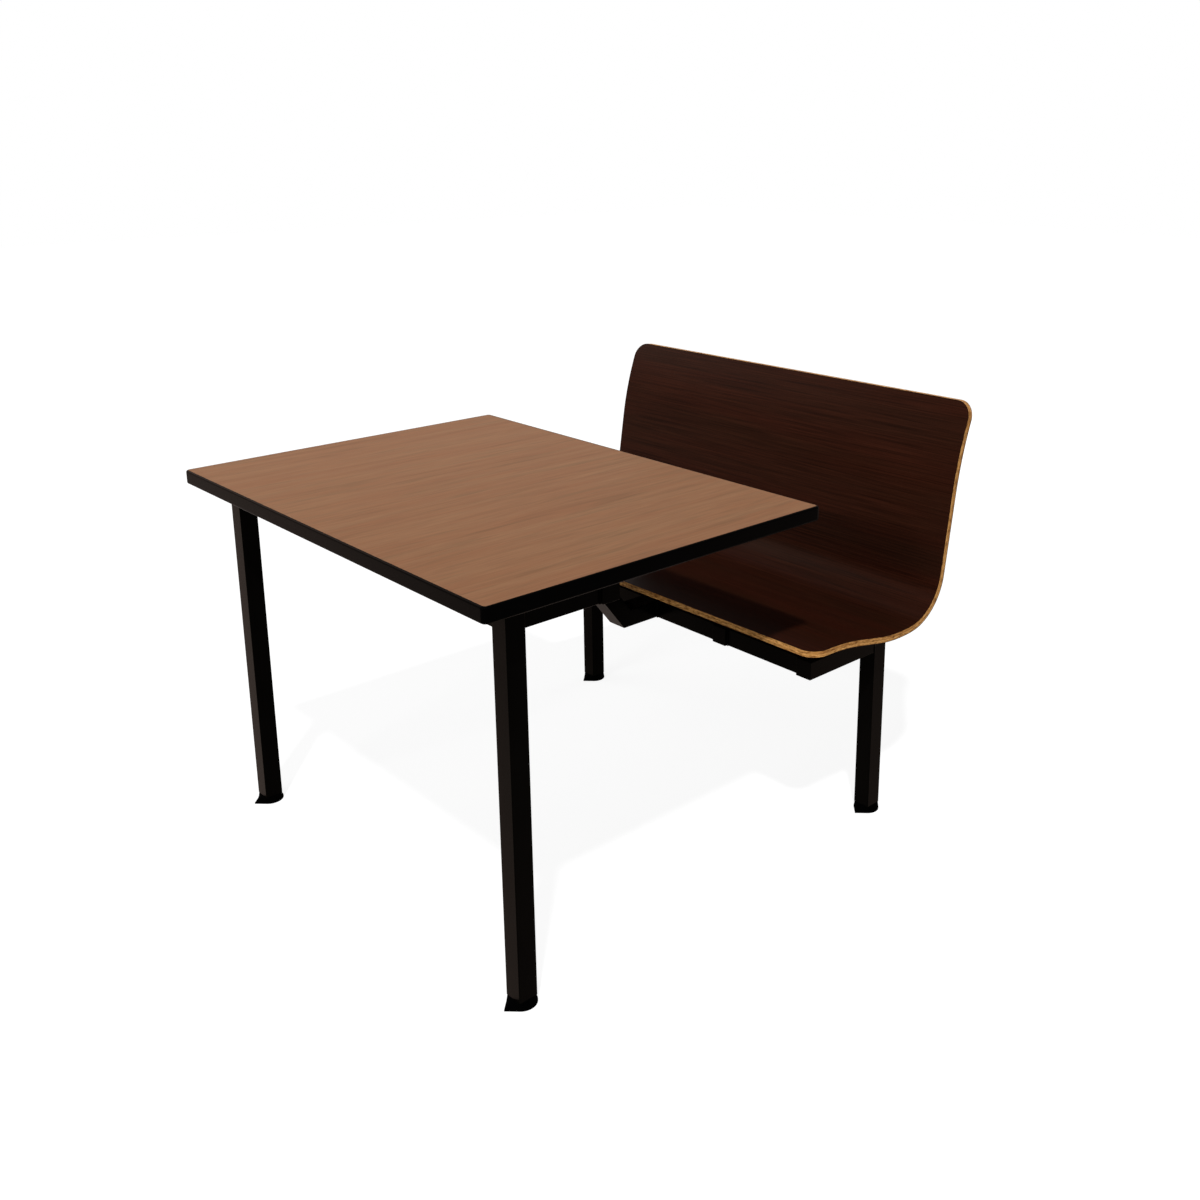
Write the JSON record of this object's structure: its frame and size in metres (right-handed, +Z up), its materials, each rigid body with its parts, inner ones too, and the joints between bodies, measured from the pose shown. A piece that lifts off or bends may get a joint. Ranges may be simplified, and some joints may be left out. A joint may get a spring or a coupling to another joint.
{
  "type": "restaurant booth",
  "caption": "Open booth unit: rectangular laminate table and contoured plywood bench on a shared welded square-tube frame with levelling feet.",
  "frame": {"origin": "middle of the footprint, on the floor", "axes": "+X from the table's free end towards the bench's back, +Y across to the sitter's right, +Z up"},
  "size_m": [1.2652, 1.0668, 0.8854],
  "materials": {
    "frame_steel": "satin black powder coat",
    "black_plastic": "moulded black nylon",
    "edge_plastic": "satin black moulded edge",
    "laminate": "walnut-grain laminate, satin",
    "backer": "dark backer sheet",
    "board": "raw particle board",
    "plywood": "clear-coated plywood edge",
    "veneer": "dark red-brown veneer, satin lacquer",
    "zinc_steel": "zinc plated"
  },
  "bodies": {
    "booth": {"tabletop_core": "board", "tabletop_laminate": "laminate", "tabletop_backer": "backer", "tabletop_edge_band": "edge_plastic", "table_leg_left": "frame_steel", "table_leg_right": "frame_steel", "table_side_rail_left": "frame_steel", "table_side_rail_right": "frame_steel", "table_end_rail": "frame_steel", "table_cross_tube": "frame_steel", "cross_tube_cap_left": "black_plastic", "cross_tube_cap_right": "black_plastic", "table_tab_end_left": "frame_steel", "table_tab_end_right": "frame_steel", "table_tab_cross_left": "frame_steel", "table_tab_cross_right": "frame_steel", "table_tab_beam_left": "frame_steel", "table_tab_beam_right": "frame_steel", "beam_upper": "frame_steel", "beam_riser": "frame_steel", "beam_lower": "frame_steel", "bench_leg_left": "frame_steel", "bench_leg_right": "frame_steel", "bench_side_tube_left": "frame_steel", "bench_side_tube_right": "frame_steel", "bench_mid_tube_left": "frame_steel", "bench_mid_tube_right": "frame_steel", "bench_front_rail_inner_left": "frame_steel", "bench_front_rail_inner_right": "frame_steel", "bench_front_rail_outer_left": "frame_steel", "bench_front_rail_outer_right": "frame_steel", "bench_rear_rail": "frame_steel", "bench_side_cap_left": "black_plastic", "bench_side_cap_right": "black_plastic", "bench_mid_cap_left": "black_plastic", "bench_mid_cap_right": "black_plastic", "seat_bracket_side_left": "frame_steel", "seat_bracket_side_right": "frame_steel", "seat_bracket_mid_left": "frame_steel", "seat_bracket_mid_right": "frame_steel", "seat_plywood": "plywood", "seat_face_veneer": "veneer", "seat_back_veneer": "veneer", "leg_insert_table_left": "black_plastic", "leg_insert_table_right": "black_plastic", "leg_insert_bench_left": "black_plastic", "leg_insert_bench_right": "black_plastic"},
    "leveller_table_left": {"foot_table_left": "black_plastic", "foot_stem_table_left": "zinc_steel"},
    "leveller_table_right": {"foot_table_right": "black_plastic", "foot_stem_table_right": "zinc_steel"},
    "leveller_bench_left": {"foot_bench_left": "black_plastic", "foot_stem_bench_left": "zinc_steel"},
    "leveller_bench_right": {"foot_bench_right": "black_plastic", "foot_stem_bench_right": "zinc_steel"}
  },
  "joints": [
    {"name": "level_table_left", "type": "slide", "parent": "booth", "child": "leveller_table_left", "axis": [0, 0, -1], "range_m": [0, 0.012]},
    {"name": "level_table_right", "type": "slide", "parent": "booth", "child": "leveller_table_right", "axis": [0, 0, -1], "range_m": [0, 0.012]},
    {"name": "level_bench_left", "type": "slide", "parent": "booth", "child": "leveller_bench_left", "axis": [0, 0, -1], "range_m": [0, 0.012]},
    {"name": "level_bench_right", "type": "slide", "parent": "booth", "child": "leveller_bench_right", "axis": [0, 0, -1], "range_m": [0, 0.012]}
  ]
}
